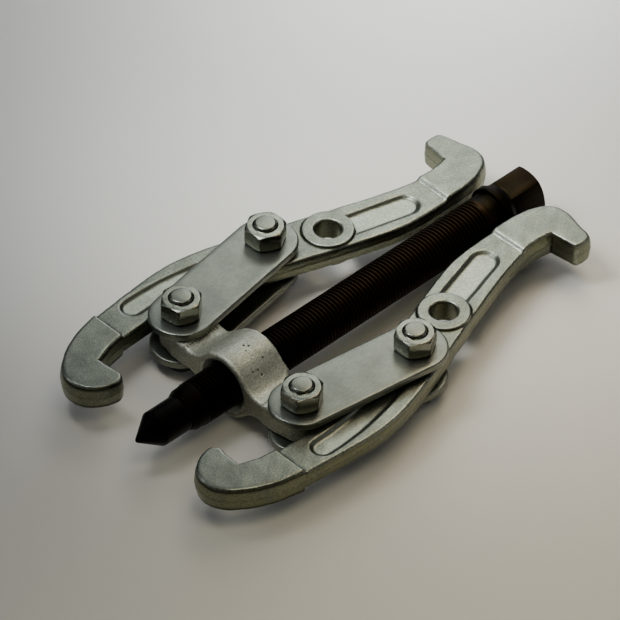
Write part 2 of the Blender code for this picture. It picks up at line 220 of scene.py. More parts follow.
def outline_distance(x, y, outline):
    """Signed distance to a closed flat outline."""
    nearest = np.full(np.broadcast(x, y).shape, 1e9)
    inside = np.zeros(nearest.shape, bool)
    for (ax, ay), (bx, by) in zip(outline, np.roll(outline, -1, axis=0)):
        ex, ey = bx - ax, by - ay
        wx, wy = x - ax, y - ay
        t = np.clip((wx * ex + wy * ey) / (ex * ex + ey * ey), 0.0, 1.0)
        nearest = np.minimum(nearest, (wx - ex * t) ** 2 + (wy - ey * t) ** 2)
        if ey != 0.0:
            inside ^= ((ay > y) != (by > y)) & (x < ex * (y - ay) / ey + ax)
    return np.where(inside, -1.0, 1.0) * np.sqrt(nearest)


def uneven(x, y, z, wave, seed):
    """Smooth pseudo-random waviness between about -1 and 1."""
    rng = np.random.default_rng(seed)
    total = 0.0
    for _ in range(10):
        direction = rng.normal(size=3)
        direction /= np.linalg.norm(direction) * wave * rng.uniform(0.6, 1.6) / (2 * math.pi)
        phase = rng.uniform(0, 2 * math.pi)
        total = total + np.sin(x * direction[0] + y * direction[1] + z * direction[2] + phase)
    return total / 4.5


def surface_of(field, low, high, step):
    """Closed quads on the zero level of a field, between two corners, by the surface nets method."""
    axes = [np.arange(a, b + step, step) for a, b in zip(low, high)]
    shape = tuple(len(a) for a in axes)
    value = np.broadcast_to(field(axes[0][:, None, None], axes[1][None, :, None], axes[2][None, None, :]),
                            shape).astype(np.float32)
    inside = value < 0
    corners = [(i, j, k) for i in (0, 1) for j in (0, 1) for k in (0, 1)]
    counts = np.zeros(tuple(n - 1 for n in shape), np.int8)
    for i, j, k in corners:
        counts += inside[i:shape[0] - 1 + i, j:shape[1] - 1 + j, k:shape[2] - 1 + k]
    cells = np.argwhere((counts > 0) & (counts < 8))
    index = np.full(counts.shape, -1, np.int32)
    index[tuple(cells.T)] = np.arange(len(cells))
    total = np.zeros((len(cells), 3))
    crossings = np.zeros(len(cells))
    for a in corners:
        for axis in range(3):
            if a[axis]:
                continue
            b = list(a)
            b[axis] = 1
            at_a = value[tuple((cells + a).T)]
            at_b = value[tuple((cells + b).T)]
            crosses = (at_a < 0) != (at_b < 0)
            t = np.where(crosses, at_a / np.where(crosses, at_a - at_b, 1.0), 0.0)
            point = np.tile(np.array(a, float), (len(cells), 1))
            point[:, axis] = t
            total += point * crosses[:, None]
            crossings += crosses
    points = np.array(low) + (cells + total / crossings[:, None]) * step
    faces = []
    for axis in range(3):
        u, v = [a for a in range(3) if a != axis]
        first = [slice(None)] * 3
        second = [slice(None)] * 3
        first[axis] = slice(0, -1)
        second[axis] = slice(1, None)
        starts_inside = inside[tuple(first)]
        found = np.argwhere(starts_inside != inside[tuple(second)])
        found = found[(found[:, u] > 0) & (found[:, v] > 0)]
        outwards = starts_inside[tuple(found.T)]
        back_u, back_v = found.copy(), found.copy()
        back_u[:, u] -= 1
        back_v[:, v] -= 1
        back_both = back_u.copy()
        back_both[:, v] -= 1
        quad = np.stack([index[tuple(p.T)] for p in (found, back_u, back_both, back_v)], 1)
        if axis == 1:
            outwards = ~outwards
        quad[outwards] = quad[outwards][:, ::-1]
        faces.append(quad)
    return points, np.concatenate(faces)


# --- jaw --------------------------------------------------------------------------------------------
JAW_HOOK_HALF = 5.0
JAW_MID_HALF = 3.6
JAW_RECESS = 1.1
FREE_HOLE_X = 23.2
FREE_HOLE_R = 4.7
BOSS_R = 9.1
FAR_STEP = ((62.0, 12.6), (67.4, -2.6))
NEAR_STEP = ((-66.4, -8.0), (-61.0, -22.4))
FAR_SLOPE = 2.0
NEAR_SLOPE = 0.5
PANEL_WALL_RUN = 1.1
FAR_PANEL = ((20.0, -1.3), (52.6, 1.5))
FAR_PANEL_HALF = 4.75
NEAR_PANEL_CENTRE = (-12.0, -107.0)
NEAR_PANEL_R = 106.2
NEAR_PANEL_HALF = 3.8
NEAR_PANEL_ANGLES = (85.0, 112.4)
JAW_STEP = 0.38
SIDE_BULGE = 0.30
BIG_HOOK_X = -66.0
BIG_HOOK_BULGE = 0.45
BIG_HOOK_BLEND = 12.0
SMALL_HOOK_X = 74.0
SMALL_HOOK_BULGE = 0.35
SMALL_HOOK_BLEND = 8.0
PARTING_HIGH = 0.14
PARTING_WIDE = 0.40
STEP_GROOVE = 0.30
JAW_EDGE_R = 0.85
PANEL_FOOT_R = 0.45
PANEL_RIM_R = 0.35
BOSS_EDGE_R = 0.4
BOSS_FOOT_R = 0.3
HOLE_EDGE_R = 0.15
HOLE_CHAMFER = 0.5
JAW_BOLT_HOLE_R = 4.15
FAR_FLOOR_PALE = 0.7
JAW_OUTLINE = (
    ("corner", 74.4, 16.8), ("smooth", 68.0, 13.5), ("smooth", 62.5, 12.0), ("smooth", 54.0, 10.8),
    ("smooth", 40.0, 10.0), ("smooth", 13.0, 9.4), ("smooth", -10.0, 9.1), ("smooth", -25.0, 7.9),
    ("smooth", -37.0, 5.0), ("smooth", -49.5, -0.4), ("smooth", -61.0, -6.0), ("smooth", -70.5, -11.2),
    ("smooth", -77.5, -16.8), ("smooth", -83.0, -23.3), ("smooth", -85.9, -29.6), ("smooth", -85.6, -35.2),
    ("smooth", -82.6, -39.6), ("smooth", -78.2, -41.8), ("smooth", -73.4, -42.2), ("smooth", -69.7, -41.1),
    ("smooth", -68.7, -39.0), ("corner", -70.4, -35.1), ("corner", -72.8, -29.6), ("smooth", -68.9, -26.2),
    ("smooth", -63.5, -22.7),
    ("smooth", -56.5, -19.5), ("smooth", -48.0, -16.2), ("smooth", -37.0, -13.0), ("smooth", -24.0, -11.0),
    ("smooth", -8.0, -10.1), ("smooth", 20.0, -9.8), ("smooth", 36.0, -9.2), ("smooth", 47.0, -8.3),
    ("smooth", 56.0, -6.1), ("smooth", 67.0, -2.2), ("smooth", 76.5, 1.5), ("smooth", 83.2, 5.9),
    ("smooth", 86.9, 10.8), ("smooth", 86.8, 16.0), ("smooth", 81.6, 24.6), ("smooth", 79.4, 28.2),
    ("smooth", 78.0, 29.3), ("smooth", 76.2, 29.2), ("smooth", 73.2, 28.1), ("smooth", 72.1, 27.2),
    ("corner", 72.1, 25.8),
)


def smooth_outline(points, steps):
    """The closed Bezier outline through the points, as an array of (x, y)."""
    curve = bpy.data.curves.new("outline", "CURVE")
    curve.dimensions = "2D"
    curve.fill_mode = "NONE"
    curve.resolution_u = steps
    spline = curve.splines.new("BEZIER")
    spline.bezier_points.add(len(points) - 1)
    spline.use_cyclic_u = True
    for bezier_point, (kind, x, y) in zip(spline.bezier_points, points):
        bezier_point.co = (x, y, 0.0)
        handle = "AUTO" if kind == "smooth" else "VECTOR"
        bezier_point.handle_left_type = handle
        bezier_point.handle_right_type = handle
    holder = bpy.data.objects.new("outline", curve)
    bpy.context.scene.collection.objects.link(holder)
    bpy.context.view_layer.update()
    mesh = holder.to_mesh()
    line = np.array([v.co[:2] for v in mesh.vertices])
    holder.to_mesh_clear()
    bpy.data.objects.remove(holder)
    bpy.data.curves.remove(curve)
    return line


def beyond_line(x, y, line, towards):
    """How far a point lies beyond a line seen from above, on its +x (1) or -x (-1) side."""
    (ax, ay), (bx, by) = line
    length = math.hypot(bx - ax, by - ay)
    nx, ny = (by - ay) / length, -(bx - ax) / length
    if nx * towards < 0:
        nx, ny = -nx, -ny
    return (x - ax) * nx + (y - ay) * ny


def far_panel_distance(x, y):
    """Signed distance to the straight panel's outline, seen from above."""
    (ax, ay), (bx, by) = FAR_PANEL
    ex, ey = bx - ax, by - ay
    t = np.clip(((x - ax) * ex + (y - ay) * ey) / (ex * ex + ey * ey), 0.0, 1.0)
    return np.hypot(x - ax - ex * t, y - ay - ey * t) - FAR_PANEL_HALF


def near_panel_distance(x, y):
    """Signed distance to the curved panel's outline, seen from above."""
    cx, cy = NEAR_PANEL_CENTRE
    angle = np.clip(np.arctan2(y - cy, x - cx), *[math.radians(a) for a in NEAR_PANEL_ANGLES])
    return np.hypot(x - cx - NEAR_PANEL_R * np.cos(angle),
                    y - cy - NEAR_PANEL_R * np.sin(angle)) - NEAR_PANEL_HALF


JAW_LINE = smooth_outline(JAW_OUTLINE, 5)


def jaw_half_thickness(x, y):
    """Half of the jaw's thickness: thicker hooks, with a small groove at the foot of the near step."""
    near = beyond_line(x, y, NEAR_STEP, -1)
    hook = np.maximum(ramp(near / NEAR_SLOPE + 0.5), ramp(beyond_line(x, y, FAR_STEP, 1) / FAR_SLOPE + 0.5))
    groove = STEP_GROOVE * np.exp(-((near + 0.55) / 0.35) ** 2)
    return JAW_MID_HALF + (JAW_HOOK_HALF - JAW_MID_HALF) * hook - groove


def jaw_field(x, y, z):
    """Forged jaw: drafted sides with a parting ridge, stepped hooks, sunk panels, bosses and holes."""
    high = np.abs(z)
    half = jaw_half_thickness(x, y)
    bulge = (SIDE_BULGE + BIG_HOOK_BULGE * ramp((BIG_HOOK_X - x) / BIG_HOOK_BLEND)
             + SMALL_HOOK_BULGE * ramp((x - SMALL_HOOK_X) / SMALL_HOOK_BLEND))
    side = outline_distance(x, y, JAW_LINE) - bulge * (1.0 - (high / half) ** 2)
    side = side - PARTING_HIGH * np.exp(-(z / PARTING_WIDE) ** 2) + 0.05 * uneven(x, y, z, 2.2, 5)
    body = cut_round(side, high - half, JAW_EDGE_R)
    depth_line = JAW_MID_HALF - JAW_RECESS / 2
    for distance in (far_panel_distance(x, y), near_panel_distance(x, y)):
        wall = distance - (high - depth_line) * PANEL_WALL_RUN
        sunk = cut_round(wall, JAW_MID_HALF - JAW_RECESS - high, PANEL_FOOT_R)
        body = cut_round(body, -sunk, PANEL_RIM_R)
    body = body + 0.06 * uneven(x, y, z, 7.0, 3)
    for centre in (0.0, FREE_HOLE_X):
        out = np.hypot(x - centre, y)
        boss = cut_round(out - BOSS_R - 0.05, high - PAD_HALF, BOSS_EDGE_R)
        body = join_round(body, boss, BOSS_FOOT_R)
    for centre, radius in ((0.0, JAW_BOLT_HOLE_R), (FREE_HOLE_X, FREE_HOLE_R)):
        hole = np.hypot(x - centre, y) - radius - np.maximum(high - PAD_HALF + HOLE_CHAMFER, 0.0)
        body = cut_round(body, -hole, HOLE_EDGE_R)
    return body


def jaw_mesh():
    """The jaw, painted: pale panel floors, highlight on far slopes, shade in corners and lines, a dark
    parting line.
    """
    first_corner = JAW_LINE.min(0) - 2.5
    last_corner = JAW_LINE.max(0) + 2.5
    limit = JAW_HOOK_HALF + 1.2
    points, faces = surface_of(jaw_field, (*first_corner, -limit), (*last_corner, limit), JAW_STEP)
    mesh = finish_mesh("jaw", points, faces, crease=60.0, weld=0.0)
    x, y, z = read_values(mesh.vertices, "co", 3).T / MM
    high = np.abs(z)
    panel = np.minimum(far_panel_distance(x, y), near_panel_distance(x, y))
    boss = np.minimum(np.hypot(x, y), np.hypot(x - FREE_HOLE_X, y)) - BOSS_R
    floor = ramp(-(panel + 0.6) / 0.7) * ramp(boss / 0.5) * ramp((JAW_MID_HALF - 0.5 - high) / 0.3)
    floor = floor * np.where(x > 0.0, FAR_FLOOR_PALE, 1.0)
    # Painted highlight: the far step's slope is stored pale along with the panel floors.
    slope_highlight = ramp(1.3 - np.abs(beyond_line(x, y, FAR_STEP, 1)) / (FAR_SLOPE * 0.55))
    set_values(mesh, "floor", np.maximum(floor, 0.8 * slope_highlight * ramp((high - 3.0) / 0.4)))
    on_side = ramp((outline_distance(x, y, JAW_LINE) + 0.9) / 0.5)
    half = jaw_half_thickness(x, y)
    in_hook = ramp(beyond_line(x, y, NEAR_STEP, -1) + 0.5)
    # Painted shade: a dark band just under the top edge of the sides, strongest on the big hook.
    shade_under_edge = (0.35 + 0.65 * in_hook) * np.exp(-((half - 1.25 - high) / 0.58) ** 2) * on_side
    parting = 0.30 * np.exp(-(z / PARTING_WIDE) ** 2) * on_side
    # Painted shadow: a dark line along the foot of the near step.
    shadow_at_step_foot = np.exp(-((beyond_line(x, y, NEAR_STEP, -1) + 0.45) / 0.40) ** 2) * ramp((high - 2.6) / 0.5)
    in_panel = ramp((1.5 - panel) / 0.5) * ramp(boss / 0.5)
    # Painted shade in corners, weaker in the panels and none on the far slope; the parting line is added as
    # a real dark line.
    corners = read_values(mesh.attributes["shade_and_grime"].data, "value", 1)
    corners = corners * (1.0 - slope_highlight) * (1.0 - 0.55 * in_panel)
    set_values(mesh, "shade_and_grime", np.maximum.reduce([corners, shade_under_edge, parting, shadow_at_step_foot]))
    return mesh


# --- yoke -------------------------------------------------------------------------------------------
YOKE_FRONT = -8.5
YOKE_BACK = 9.6
EAR_HALF_WIDE = 8.2
EAR_END_R = 7.6
EAR_STRAIGHT_Y = 25.4
WEB_HALF = 4.1
PAD_START_Y = 20.0
PAD_SLOPE = 1.4
RING_R = 12.5
RING_FILLET = 4.5
YOKE_STEP = 0.33
TOOL_MARK_PITCH = 1.2
TOOL_MARK_DEEP = 0.11
TOOL_MARK_WIDE = 0.9
SHOULDER_Y = 12.9
EAR_START_Y = 14.7
CAST_EDGE_R = 1.15
BORE_R = 8.35
BORE_FRONT_CHAMFER = 2.0
BORE_BACK_CHAMFER = 0.8
YOKE_BOLT_HOLE_R = 4.2

# centre x, y, z and radius of each casting pit
PITS = ((0.9, -0.2, 12.4, 0.42), (2.0, -1.3, 12.3, 0.36), (-0.2, -2.6, 12.2, 0.22), (-2.9, -9.0, 8.7, 0.34),
        (-0.4, -10.5, 6.8, 0.40), (0.1, -11.2, 5.5, 0.34), (-0.9, -9.2, 8.5, 0.30), (3.2, -7.0, 10.3, 0.26))


def yoke_outline():
    """Plan view of the yoke, one walk round it."""
    end = [(EAR_END_R * math.cos(a), YOKE_BOLT_Y + EAR_END_R * math.sin(a))
           for a in np.linspace(0, math.pi, 19)]
    half = [(YOKE_BACK, SHOULDER_Y), (EAR_HALF_WIDE, EAR_START_Y), (EAR_HALF_WIDE, EAR_STRAIGHT_Y)] + end
    half += [(YOKE_FRONT, EAR_STRAIGHT_Y)]
    return np.array(half + [(x, -y) for x, y in reversed(half)])


YOKE_LINE = yoke_outline()


def yoke_field(x, y, z):
    """Cast yoke: ring, webs and pads with soft edges, a machined bore and bolt holes, and small pits."""
    high = np.abs(z)
    around = np.hypot(y, z)
    half = WEB_HALF + (PAD_HALF - WEB_HALF) * ramp((np.abs(y) - PAD_START_Y + PAD_SLOPE) / PAD_SLOPE)
    profile = join_round(around - RING_R, high - half, RING_FILLET)
    body = cut_round(profile, outline_distance(x, y, YOKE_LINE), CAST_EDGE_R)
    marks = np.exp(-((np.abs(y) - PAD_START_Y + 1.0) / TOOL_MARK_WIDE) ** 2) * (around > RING_R)
    body = body + TOOL_MARK_DEEP * marks * np.sin(2 * math.pi * (x + 0.2 * y) / TOOL_MARK_PITCH)
    body = body + 0.07 * uneven(x, y, z, 6.0, 11) + 0.03 * uneven(x, y, z, 1.5, 12)
    for px, py, pz, radius in PITS:
        pit = np.sqrt((x - px) ** 2 + (y - py) ** 2 + (z - pz) ** 2) - radius
        body = cut_round(body, -pit, 0.1)
    mouth = (np.maximum((YOKE_FRONT + BORE_FRONT_CHAMFER) - x, 0.0)
             + np.maximum(x - YOKE_BACK + BORE_BACK_CHAMFER, 0.0))
    body = cut_round(body, mouth + BORE_R - around, 0.2)
    for side in SIDES.values():
        body = cut_round(body, YOKE_BOLT_HOLE_R - np.hypot(x, y - side * YOKE_BOLT_Y), HOLE_EDGE_R)
    return body


def yoke_mesh():
    reach = YOKE_BOLT_Y + EAR_END_R + 1.5
    points, faces = surface_of(yoke_field, (YOKE_FRONT - 1.5, -reach, -RING_R - 1.5),
                               (YOKE_BACK + 1.5, reach, RING_R + 1.5), YOKE_STEP)
    return finish_mesh("yoke", points, faces, crease=60.0, weld=0.0)


# --- links, bolts, nuts -----------------------------------------------------------------------------
LINK_STEP = 0.30
LINK_EDGE = 0.6
LINK_HOLE_R = 4.2


def link_field(x, y, z):
    """Pressed plate with rounded edges, a slight roll-over at its rim and two round holes."""
    along = np.clip(x, 0.0, LINK_PITCH)
    side = np.hypot(x - along, y) - LINK_END_R
    half = LINK_THICK / 2 - 0.12 * ramp((side + 1.8) / 1.8)
    body = cut_round(side, np.abs(z) - half, LINK_EDGE)
    for centre in (0.0, LINK_PITCH):
        body = cut_round(body, LINK_HOLE_R - np.hypot(x - centre, y), 0.2)
    return body + 0.012 * uneven(x, y, z, 9.0, 21)


def link_mesh():
    reach = LINK_END_R + 1.0
    points, faces = surface_of(link_field, (-reach, -reach, -LINK_THICK / 2 - 0.7),
                               (LINK_PITCH + reach, reach, LINK_THICK / 2 + 0.7), LINK_STEP)
    return finish_mesh("link", points, faces, crease=60.0, weld=0.0)


HEX_ACROSS = 13.0
HEX_CORNER = 7.4
HEX_FACE_R = 6.3
HEAD_HIGH = 5.3
NUT_HIGH = 6.5
NUT_BORE_R = 4.05
NUT_MOUTH_R = 4.5
BOLT_TOP = 15.85
BOLT_R = 3.96
BOLT_PITCH = 1.25
BOLT_THREAD_DEEP = 0.66
BOLT_THREAD_START = 2.0
CHAMFER = math.tan(math.radians(30.0))

# radius and height above its top of each ring round the bolt's rounded end
BOLT_END = ((BOLT_R, -0.8), (3.86, -0.5), (3.62, -0.2), (3.36, -0.05), (3.1, 0.0))


def hex_side_rings(low, high, angles):
    """Rings up a hexagon's side between two chamfered ends, their edges slightly rounded."""
    radius = hex_radius(angles, HEX_ACROSS, 0.0, HEX_CORNER)
    drop = (radius - HEX_FACE_R) * CHAMFER
    return [ring(radius - 0.16, low + drop - 0.09, angles), ring(radius - 0.05, low + drop, angles),
            ring(radius, low + drop + 0.16, angles), ring(radius, high - drop - 0.16, angles),
            ring(radius - 0.05, high - drop, angles), ring(radius - 0.16, high - drop + 0.09, angles)]


def nut_mesh():
    angles = turns(120)
    low, high = NUT_SEAT, NUT_SEAT + NUT_HIGH
    rings = [ring(NUT_BORE_R, low + 0.1, angles), ring(NUT_BORE_R + 0.15, low, angles),
             ring(HEX_FACE_R - 0.15, low, angles)]
    rings += hex_side_rings(low, high, angles)
    rings += [ring(HEX_FACE_R - 0.1, high - 0.02, angles), ring(HEX_FACE_R - 0.3, high, angles),
              ring(NUT_MOUTH_R, high, angles), ring(NUT_MOUTH_R - 0.1, high - 0.08, angles),
              ring(NUT_BORE_R, high - 0.6, angles)]
    return finish_mesh("nut", *skin(rings, loop=True), crease=24.0)


def bolt_mesh():
    angles = turns(120)
    low = -NUT_SEAT - HEAD_HIGH
    head = [ring(HEX_FACE_R - 0.45, low, angles), ring(HEX_FACE_R - 0.2, low + 0.02, angles)]
    head += hex_side_rings(low, -NUT_SEAT, angles)
    head += [ring(HEX_FACE_R, -NUT_SEAT, angles), ring(BOLT_R + 0.2, -NUT_SEAT, angles),
             ring(BOLT_R, -NUT_SEAT + 0.3, angles), ring(BOLT_R, BOLT_THREAD_START, angles)]
    end = [ring(radius, BOLT_TOP + rise, angles) for radius, rise in BOLT_END]
    thread = thread_part(BOLT_THREAD_START, BOLT_TOP + BOLT_END[0][1], BOLT_R, BOLT_THREAD_DEEP, BOLT_PITCH,
                         angles, run_in=1.5, run_out=0.5)
    parts = [skin(head, cap_end=False), thread, skin(end, cap_start=False)]
    return finish_mesh("bolt", *join_parts(parts), crease=24.0, weld=0.004)


# --- forcing screw and pressure point, drawn along +z and laid along the screw's axis --------------
SCREW_R = 7.95
SCREW_PITCH = 1.5
SCREW_THREAD_DEEP = 0.86
THREAD_START_X = -22.0
THREAD_END_X = 111.0
NECK_R = 7.62
SOCKET_R = 3.9
SPIGOT_R = 3.5
SHADE_TO_X = 45.0
COLLAR_X = 116.4
COLLAR_R = 9.4
DRIVE_ACROSS = 16.6
DRIVE_TURN = 8.0
DRIVE_CORNER_R = 9.35
DRIVE_END_R = 8.2
SCREW_END_X = 134.8
POINT_BACK_X = -27.9
LAY_ALONG_X = Matrix(((0, 0, 1, 0), (1, 0, 0, 0), (0, 1, 0, 0), (0, 0, 0, 1)))


def screw_mesh():
    angles = turns(72, DRIVE_TURN)
    front = POINT_BACK_X + 0.3
    nose = lathe_rings(((SOCKET_R, front + 9.0), (SOCKET_R, front), (6.3, front), (6.55, front + 0.12),
                        (7.45, front + 1.9), (NECK_R, front + 2.3), (NECK_R, THREAD_START_X - 1.0),
                        (SCREW_R, THREAD_START_X)), angles)
    thread = thread_part(THREAD_START_X, THREAD_END_X, SCREW_R, SCREW_THREAD_DEEP, SCREW_PITCH, angles,
                         run_in=2.5, run_out=2.5)
    shank = lathe_rings(((SCREW_R, THREAD_END_X), (SCREW_R, COLLAR_X - 0.7),
                         (SCREW_R + 0.25, COLLAR_X - 0.15), (SCREW_R + 0.7, COLLAR_X),
                         (COLLAR_R - 0.35, COLLAR_X), (COLLAR_R - 0.08, COLLAR_X + 0.12),
                         (COLLAR_R, COLLAR_X + 0.4), (COLLAR_R, COLLAR_X + 2.6),
                         (COLLAR_R - 0.08, COLLAR_X + 2.9), (COLLAR_R - 0.35, COLLAR_X + 3.05)), angles)
    radius = hex_radius(angles, DRIVE_ACROSS, DRIVE_TURN, DRIVE_CORNER_R)
    fall = (radius - DRIVE_END_R) * CHAMFER
    drive = [ring(radius - 0.3, COLLAR_X + 5.5 - fall * 1.4, angles),
             ring(radius, COLLAR_X + 6.0 - fall, angles),
             ring(radius, SCREW_END_X - fall - 0.25, angles),
             ring(radius - 0.06, SCREW_END_X - fall, angles),
             ring(radius - 0.25, SCREW_END_X - fall + 0.13, angles),
             ring(DRIVE_END_R - 0.1, SCREW_END_X - 0.03, angles),
             ring(DRIVE_END_R - 0.35, SCREW_END_X, angles)]
    parts = [skin(nose, cap_end=False), thread, skin(shank + drive, cap_start=False)]
    return finish_mesh("forcing_screw", *join_parts(parts), crease=26.0, weld=0.004)


def point_mesh():
    angles = turns(72)
    rings = lathe_rings(((0.35, -47.2), (0.75, -46.9), (6.15, -39.1), (6.36, -38.75), (6.4, -38.3),
                         (6.4, POINT_BACK_X - 0.25), (6.2, POINT_BACK_X), (SPIGOT_R, POINT_BACK_X),
                         (SPIGOT_R, POINT_BACK_X + 8.6), (SPIGOT_R - 0.3, POINT_BACK_X + 9.0)), angles)
    return finish_mesh("pressure_point", *skin(rings), crease=26.0)


# --- materials --------------------------------------------------------------------------------------
def add_node(tree, kind, inputs=None, **settings):
    """A new node; an input is a plain value or the socket that feeds it."""
    node = tree.nodes.new(kind)
    for name, value in settings.items():
        setattr(node, name, value)
    for name, value in (inputs or {}).items():
        if isinstance(value, bpy.types.NodeSocket):
            tree.links.new(value, node.inputs[name])
        else:
            node.inputs[name].default_value = value
    return node


def new_material(name):
    """A material with its node tree, its shader and the object coordinates."""
    material = bpy.data.materials.new(name)
    material.use_nodes = True
    tree = material.node_tree
    shader = tree.nodes["Principled BSDF"]
    place = add_node(tree, "ShaderNodeTexCoord").outputs["Object"]
    return material, tree, shader, place


def noise(tree, place, size, detail, rough, stretch=None):
    """Noise whose features measure about size millimetres."""
    if stretch:
        place = add_node(tree, "ShaderNodeMapping", {"Vector": place, "Scale": stretch}).outputs[0]
    return add_node(tree, "ShaderNodeTexNoise", {"Vector": place, "Scale": 1.0 / (size * MM),
                                                 "Detail": detail, "Roughness": rough}).outputs["Fac"]


def remap(tree, value, low, high, to_low=0.0, to_high=1.0):
    """A smooth step of a value between two limits."""
    return add_node(tree, "ShaderNodeMapRange", {"Value": value, "From Min": low, "From Max": high,
                                                 "To Min": to_low, "To Max": to_high},
                    interpolation_type="SMOOTHSTEP").outputs[0]


def blend_colour(tree, factor, a, b, mode="MIX"):
    node = add_node(tree, "ShaderNodeMix", data_type="RGBA", blend_type=mode)
    for slot, value in ((0, factor), (6, a), (7, b)):
        if isinstance(value, bpy.types.NodeSocket):
            tree.links.new(value, node.inputs[slot])
        else:
            node.inputs[slot].default_value = value if slot == 0 else (*value, 1.0)
    return node.outputs[2]


def maths(tree, operation, a, b=0.0):
    node = add_node(tree, "ShaderNodeMath", operation=operation)
    for slot, value in ((0, a), (1, b)):
        if isinstance(value, bpy.types.NodeSocket):
            tree.links.new(value, node.inputs[slot])
        else:
            node.inputs[slot].default_value = value
    return node.outputs[0]


def bump(tree, height, depth_mm, normal=None):
    inputs = {"Height": height, "Distance": depth_mm * MM, "Strength": 1.0}
    if normal:
        inputs["Normal"] = normal
    return add_node(tree, "ShaderNodeBump", inputs).outputs[0]


def facing_shade_mask(tree):
    """1 on faces that look up or down, 0 on side faces, which it paints as in shade."""
    normal = add_node(tree, "ShaderNodeNewGeometry").outputs["Normal"]
    z = add_node(tree, "ShaderNodeSeparateXYZ", {"Vector": normal}).outputs["Z"]
    return remap(tree, maths(tree, "ABSOLUTE", z), 0.35, 0.85)


def painted(tree, name):
    """A number stored on the mesh's points."""
    return add_node(tree, "ShaderNodeAttribute", attribute_name=name).outputs["Fac"]


def times(colour, factor):
    return tuple(min(1.0, c * factor) for c in colour)


def zinc(name, top, side, stain, rough, grain_mm, grain_deep, metallic, mottle, shade_and_grime_amount, wear_and_sheen_amount=0.6,
         pale_floors_and_highlight=False, stretch=None):
    """Mottled zinc; sides painted as shade and floor reflection, corners as shade, edges partly as
    highlight.
    """
    material, tree, shader, place = new_material(name)
    blotch = remap(tree, noise(tree, place, 9.0, 4.0, 0.6), 0.35, 0.7)
    fine = noise(tree, place, grain_mm, 3.0, 0.6, stretch)
    flecks = remap(tree, noise(tree, place, 0.55, 3.0, 0.6, stretch), 0.36, 0.66)
    # Painted shade and floor reflection: side faces take the darker, olive side colour, tops the lighter
    # top colour.
    colour = blend_colour(tree, facing_shade_mask(tree), side, top)
    colour = blend_colour(tree, maths(tree, "MULTIPLY", blotch, 0.55), colour, stain)
    speckle = blend_colour(tree, flecks, (0.72, 0.72, 0.70), (1.24, 1.25, 1.23))
    colour = blend_colour(tree, mottle, colour, speckle, "MULTIPLY")
    pits = remap(tree, noise(tree, place, 0.7, 2.0, 0.5), 0.68, 0.78)
    colour = blend_colour(tree, maths(tree, "MULTIPLY", pits, 0.45), colour, times(top, 0.25))
    gloss = maths(tree, "ADD", rough - 0.06, maths(tree, "MULTIPLY", blotch, 0.07))
    gloss = maths(tree, "ADD", gloss, maths(tree, "MULTIPLY", fine, 0.12))
    # Pale panel floors, and a painted highlight on the far slopes, from the stored floor values.
    if pale_floors_and_highlight:
        floor = painted(tree, "floor")
        colour = blend_colour(tree, maths(tree, "MULTIPLY", floor, 0.85), colour,
                              blend_colour(tree, flecks, times(top, 1.4), times(top, 2.0)))
    # Outer edges lighter in patches: real rubbing and painted highlight.
    broken = remap(tree, noise(tree, place, 2.0, 4.0, 0.7), 0.30, 0.62)
    wear_and_sheen = maths(tree, "MULTIPLY", painted(tree, "wear_and_sheen"), broken)
    colour = blend_colour(tree, maths(tree, "MULTIPLY", wear_and_sheen, wear_and_sheen_amount), colour, times(top, 2.0))
    # Painted shade: stored corners and lines take a near-black copy of the side colour.
    colour = blend_colour(tree, maths(tree, "MULTIPLY", painted(tree, "shade_and_grime"), shade_and_grime_amount), colour,
                          times(side, 0.12))
    gloss = maths(tree, "SUBTRACT", gloss, maths(tree, "MULTIPLY", wear_and_sheen, 0.08))
    tree.links.new(colour, shader.inputs["Base Color"])
    tree.links.new(gloss, shader.inputs["Roughness"])
    shader.inputs["Metallic"].default_value = metallic
    coarse = bump(tree, noise(tree, place, grain_mm * 4.0, 3.0, 0.6), grain_deep * 2.0)
    tree.links.new(bump(tree, fine, grain_deep, coarse), shader.inputs["Normal"])
    return material


